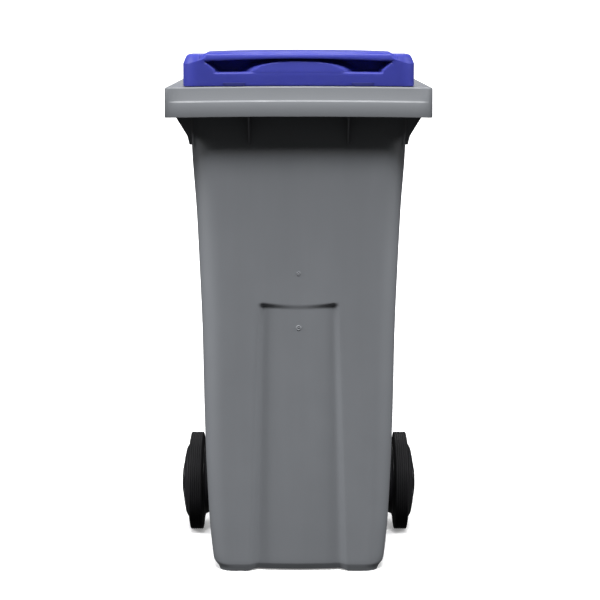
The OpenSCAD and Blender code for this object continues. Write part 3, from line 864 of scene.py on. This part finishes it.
def hub_outline():
    """Boss, web and deep rim; the outer face is dished between the boss and the rim."""
    bore = AXLE_HIGH.z - AXLE.z + 0.08
    back = [(bore, HUB_IN, 0), (22, HUB_IN), (24, HUB_IN + 2), (26, WEB_IN, 3), (58, WEB_IN, 3),
            (60, HUB_IN + 4), (61.5, HUB_IN + 2), (65, HUB_IN + 2), (67, HUB_IN + 5), (69, RIM_IN - 2),
            (RIM_R, RIM_IN, 0)]
    face = [(RIM_R, RIM_OUT), (RIM_R - 1.5, RIM_OUT + 1.5), (67, 232), (63, hub_face(63)),
            (60, hub_face(60) - 5, 3), (40, hub_face(40) - 6, 3), (36, hub_face(36)),
            (CAP_R + 0.2, WHEEL_OUT - 1, 0.4), (CAP_R + 0.2, WHEEL_OUT - 4, 0), (bore, WHEEL_OUT - 4, 0)]
    return rounded(back + face, 1.2)


def cap_outline():
    return rounded([(CAP_R, WHEEL_OUT - 4, 0), (CAP_R, WHEEL_OUT - 1.2), (CAP_R - 2, WHEEL_OUT),
                    (CAP_R - 5, WHEEL_OUT), (CAP_R - 6, WHEEL_OUT - 0.8), (12, WHEEL_OUT - 0.5, 3),
                    (8, WHEEL_OUT), (6, WHEEL_OUT - 1), (0.01, WHEEL_OUT - 1.2)], 0.8)


def make_wheel(name, side):
    body = f"wheel_{name}"
    tyre = Shape()
    outline = tyre_outline()
    tyre.turned(outline + [outline[0]], on_side(side), steps=144)
    tyre.build(f"tyre_{name}_piece", tyre_rubber, body, [f"tyre_{name}"], sharp=40)
    hub = Shape()
    outline = hub_outline()
    hub.turned(outline + [outline[0]], on_side(side), steps=128)
    front = [(r, hub_face(r) - 0.3) for r in (35, 49, 63.5)]
    spoke = [(35, hub_face(35) - 8)] + front + [(63.5, hub_face(63.5) - 8)]
    for k in range(SPOKES):
        angle = 2 * math.pi * (k + 0.5) / SPOKES
        turn = (math.cos(angle), math.sin(angle))
        hub.plate(spoke, lambda u, w, d, c=turn: (side * w, AXLE.y + u * c[0] - d * c[1],
                                                  AXLE.z + u * c[1] + d * c[0]), 4.0, bevel=0.6)
    hub.build(f"wheel_hub_{name}_piece", hub_plastic, body, [f"wheel_hub_{name}"], sharp=40)
    cap = Shape()
    cap.turned(cap_outline(), on_side(side), steps=96)
    cap.build(f"hub_cap_{name}_piece", hub_plastic, body, [f"hub_cap_{name}"], sharp=40)


def finish_cad_nodes():
    """The small steel and plastic parts keep their CAD shape."""
    looks = {"axle": plated_steel}
    for side in SIDES:
        looks[f"axle_washer_{side}"] = plated_steel
        looks[f"hinge_pin_{side}"] = pin_plastic
        looks[f"lock_pin_{side}"] = plated_steel
        looks[f"lock_spring_{side}"] = spring_steel
    for node, material in looks.items():
        mesh = frame["nodes"][node].data
        mesh.materials.clear()
        mesh.materials.append(material)


# ---- Stage, light and camera ----


def make_stage():
    """A pale floor that curves up into a pale wall."""
    material, nodes, links, shader = principled("studio_paper")
    coords = nodes.new("ShaderNodeTexCoord").outputs["Object"]
    fibre = noise(nodes, links, coords, 40, 4)
    paper = mixed(nodes, links, fibre, (0.86, 0.86, 0.865), (0.90, 0.90, 0.905))
    links.new(paper, shader.inputs["Base Color"])
    shader.inputs["Roughness"].default_value = 0.85
    shader.inputs["Emission Color"].default_value = (1, 1, 1, 1)
    shader.inputs["Emission Strength"].default_value = 0.25
    half, back, bend = 9.0, 4.5, 1.5
    profile = [(-9.0, 0.0), (back - bend, 0.0)]
    profile += [(back - bend + bend * math.sin(a), bend - bend * math.cos(a))
                for a in spread(0, math.pi / 2, 12)[1:]]
    profile.append((back, 8.0))
    points = [(x, y, z) for x in (-half, half) for y, z in profile]
    n = len(profile)
    mesh = bpy.data.meshes.new("studio_floor")
    mesh.from_pydata(points, [], [[i, i + 1, n + i + 1, n + i] for i in range(n - 1)])
    mesh.shade_smooth()
    mesh.materials.append(material)
    floor = bpy.data.objects.new("studio_floor", mesh)
    bpy.context.scene.collection.objects.link(floor)
    floor.visible_diffuse = False
    floor.visible_glossy = False


def make_flags():
    """Two black cards beside the collar keep the side strips' light out of the neck under it."""
    material, nodes, links, shader = principled("flag_cloth")
    coords = nodes.new("ShaderNodeTexCoord").outputs["Object"]
    weave = noise(nodes, links, coords, 300, 3)
    cloth = mixed(nodes, links, weave, (0.004, 0.004, 0.004), (0.010, 0.010, 0.010))
    links.new(cloth, shader.inputs["Base Color"])
    for name, side in SIDES.items():
        x, y0, y1, z0, z1 = side * 0.46, -0.75, 0.30, 0.835, 1.0
        mesh = bpy.data.meshes.new(f"flag_{name}")
        mesh.from_pydata([(x, y0, z0), (x, y1, z0), (x, y1, z1), (x, y0, z1)], [], [[0, 1, 2, 3]])
        mesh.materials.append(material)
        flag = bpy.data.objects.new(f"flag_{name}", mesh)
        bpy.context.scene.collection.objects.link(flag)
        flag.visible_camera = False


def area_light(name, place, aim, width, height, watts, colour=(1, 1, 1)):
    light = bpy.data.lights.new(name, "AREA")
    light.shape = "RECTANGLE"
    light.size, light.size_y = width, height
    light.energy = watts
    light.color = colour
    lamp = bpy.data.objects.new(name, light)
    lamp.location = place
    lamp.rotation_euler = (Vector(aim) - Vector(place)).to_track_quat("-Z", "Y").to_euler()
    bpy.context.scene.collection.objects.link(lamp)


SKY = ((0.0, 0.05), (0.46, 0.05), (0.54, 0.04), (0.75, 0.10), (1.0, 0.14))


def make_sky():
    """A soft dome of light, brighter overhead and nearly dark below the floor."""
    world = bpy.data.worlds.new("studio")
    world.use_nodes = True
    nodes, links = world.node_tree.nodes, world.node_tree.links
    coords = nodes.new("ShaderNodeTexCoord").outputs["Generated"]
    parts = nodes.new("ShaderNodeSeparateXYZ")
    links.new(coords, parts.inputs[0])
    height = ramp(nodes, links, parts.outputs["Z"], -1, 1, 0, 1)
    dome = nodes.new("ShaderNodeValToRGB")
    dome.color_ramp.elements.remove(dome.color_ramp.elements[0])
    dome.color_ramp.elements[0].position = SKY[0][0]
    dome.color_ramp.elements[0].color = (1, 1, 1, 1)
    for place, level in SKY[1:]:
        dome.color_ramp.elements.new(place)
    for element, (place, level) in zip(dome.color_ramp.elements, SKY):
        element.position = place
        element.color = (level, level, level, 1)
    links.new(height, dome.inputs["Fac"])
    links.new(dome.outputs["Color"], nodes["Background"].inputs["Color"])
    nodes["Background"].inputs["Strength"].default_value = 1.0
    bpy.context.scene.world = world


def sun_light(name, height_deg, turn_deg, spread_deg, strength):
    """A distant soft light, height_deg above the horizon and turn_deg to the right of the camera."""
    light = bpy.data.lights.new(name, "SUN")
    light.angle = math.radians(spread_deg)
    light.energy = strength
    lamp = bpy.data.objects.new(name, light)
    lamp.rotation_euler = (math.radians(90 - height_deg), 0, math.radians(turn_deg))
    bpy.context.scene.collection.objects.link(lamp)


def make_lights():
    sun_light("key_above_front", 56, 0, 19, 3.9)
    sun_light("fill_behind", 50, 180, 30, 0.8)
    area_light("strip_left", (-2.2, -0.6, 1.65), (0, 0, 0.6), 0.6, 1.4, 52)
    area_light("strip_right", (2.2, -0.6, 1.65), (0, 0, 0.6), 0.6, 1.4, 34)
    area_light("backdrop", (0, 2.2, 3.4), (0, 4.4, 1.2), 6.0, 1.5, 160)


def make_camera():
    camera = bpy.data.cameras.new("camera")
    camera.sensor_width = 36
    camera.lens = 97.13
    camera.shift_x = 0.0023
    camera.shift_y = -0.1028
    holder = bpy.data.objects.new("camera", camera)
    holder.location = (0, -3.175, 0.7908)
    holder.rotation_euler = (math.radians(90 - 3.2), 0, 0)
    bpy.context.scene.collection.objects.link(holder)
    bpy.context.scene.camera = holder


make_tub()
make_lid()
make_buffers()
for wheel_name, wheel_side in SIDES.items():
    make_wheel(wheel_name, wheel_side)
finish_cad_nodes()
make_stage()
make_flags()
make_sky()
make_lights()
make_camera()
bpy.context.scene.view_settings.view_transform = "Standard"
